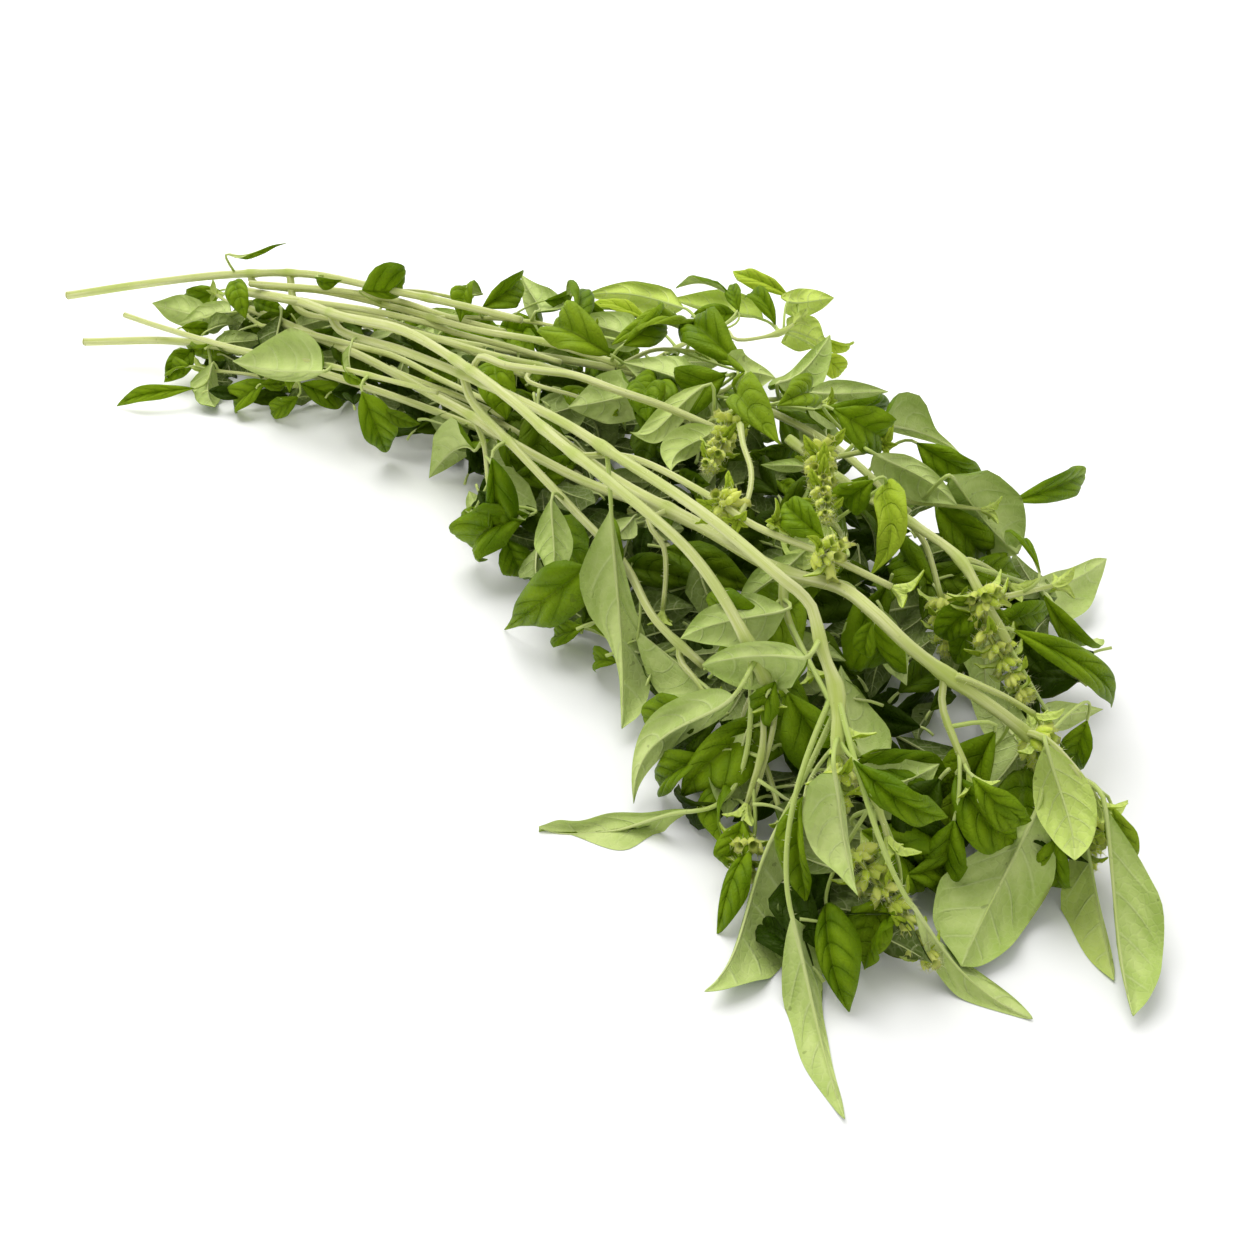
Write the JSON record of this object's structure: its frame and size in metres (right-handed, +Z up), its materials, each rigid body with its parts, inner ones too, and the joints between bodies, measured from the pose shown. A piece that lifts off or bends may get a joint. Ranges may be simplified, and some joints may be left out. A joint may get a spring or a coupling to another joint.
{
  "type": "holy basil bunch",
  "caption": "Loose bunch of cut basil lying on its side: pale stems in a sweeping fan, soft pointed leaves on thin petioles and short flower spikes.",
  "frame": {"origin": "on the surface the bunch lies on, under the middle of its bounding box", "axes": "+X from the cut stem ends to the leafy tips, +Y to the back of the bunch, +Z up"},
  "size_m": [0.5041, 0.272, 0.0744],
  "materials": {
    "stem": "smooth fresh green stem with a fine down and pale ridges",
    "leaf": "soft satin leaf, deep green above and pale grey-green with raised veins below",
    "flower": "matte hairy yellow-green calyces"
  },
  "bodies": {
    "root": {"flower_bud_front_low": "flower", "flower_bud_front_tip": "flower", "flower_spike_crown_left": "flower", "flower_spike_crown_right": "flower", "flower_spike_front_floor": "flower", "flower_spike_right_floor": "flower", "flower_spike_right_inner": "flower", "flower_spike_right_upper": "flower", "leaf_front_broad": "leaf", "leaf_front_drooping": "leaf", "leaf_front_folded": "leaf", "leaf_front_hanging": "leaf", "leaf_front_level": "leaf", "leaf_front_reaching": "leaf", "leaf_left_broad": "leaf", "leaf_left_floor": "leaf", "leaf_left_hanging": "leaf", "leaf_near_left": "leaf", "leaf_near_right": "leaf", "leaf_near_tip": "leaf", "leaf_right_arching": "leaf", "leaf_right_back": "leaf", "leaf_right_end": "leaf", "leaf_right_flat": "leaf", "side_shoot_back_crown": "leaf", "side_shoot_back_edge": "leaf", "side_shoot_back_left": "leaf", "side_shoot_back_middle": "leaf", "side_shoot_back_tip": "leaf", "side_shoot_centre": "leaf", "side_shoot_crown": "leaf", "side_shoot_front_hanging": "leaf", "side_shoot_front_low": "leaf", "side_shoot_front_tip": "leaf", "side_shoot_front_wavy": "leaf", "side_shoot_inner_front": "leaf", "side_shoot_left_back": "leaf", "side_shoot_left_end": "leaf", "side_shoot_left_floor": "leaf", "side_shoot_right_back": "leaf", "side_shoot_right_crown": "leaf", "side_shoot_right_low": "leaf", "side_shoot_right_middle": "leaf", "side_shoot_right_tip": "leaf", "side_shoot_right_upper": "leaf", "stem_back": "stem", "stem_front_branch": "stem", "stem_front_tip": "stem", "stem_low_middle": "stem", "stem_lower_cut": "stem", "stem_right_back": "stem", "stem_right_tip": "stem", "stem_side_branch": "stem", "stem_thick_upper": "stem", "stem_thin_cut": "stem", "stem_thin_middle": "stem", "stem_underside": "stem", "stem_upper_long": "stem", "stem_upper_low": "stem", "stem_upper_middle": "stem"}
  },
  "joints": []
}
